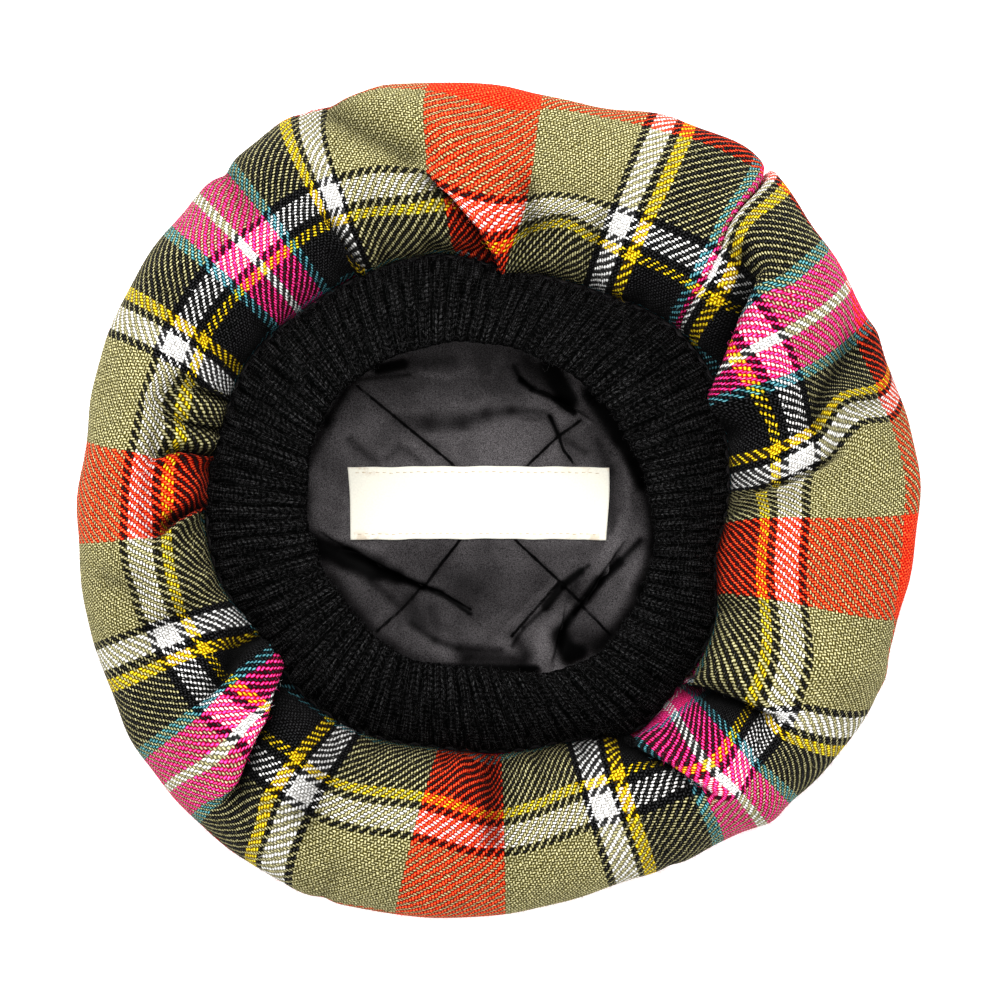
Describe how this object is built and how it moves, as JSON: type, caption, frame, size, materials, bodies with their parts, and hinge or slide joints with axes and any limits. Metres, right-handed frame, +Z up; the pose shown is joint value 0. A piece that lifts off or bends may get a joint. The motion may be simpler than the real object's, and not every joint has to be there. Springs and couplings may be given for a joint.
{
  "type": "tam o shanter",
  "caption": "Flat round soft cap with a wide tartan crown gathered into a rib-knit band, lying crown down with its opening up, with a quilted lining and a bare sewn label.",
  "frame": {"origin": "middle of the cap's box, on the surface that the crown lies on", "axes": "+Z up through the opening, the cap lying crown down; +X to the right and +Y to the top of the picture, along and across the label"},
  "size_m": [0.2823, 0.2806, 0.0597],
  "materials": {
    "tartan_top": "wool twill woven in a tartan of orange, olive, black, white, yellow, teal and pink",
    "tartan_strip": "wool twill woven in a tartan of orange, olive, black, white, yellow, teal and pink",
    "black_knit": "black ribbed wool knit with a light fuzz",
    "grey_satin": "dark grey satin, quilted in diamonds",
    "cream_tape": "cream woven tape, sewn along both long edges"
  },
  "bodies": {
    "root": {"crown_top": "tartan_top", "crown_side": "tartan_strip", "rib_band": "black_knit", "lining": "grey_satin", "label": "cream_tape"}
  },
  "joints": []
}
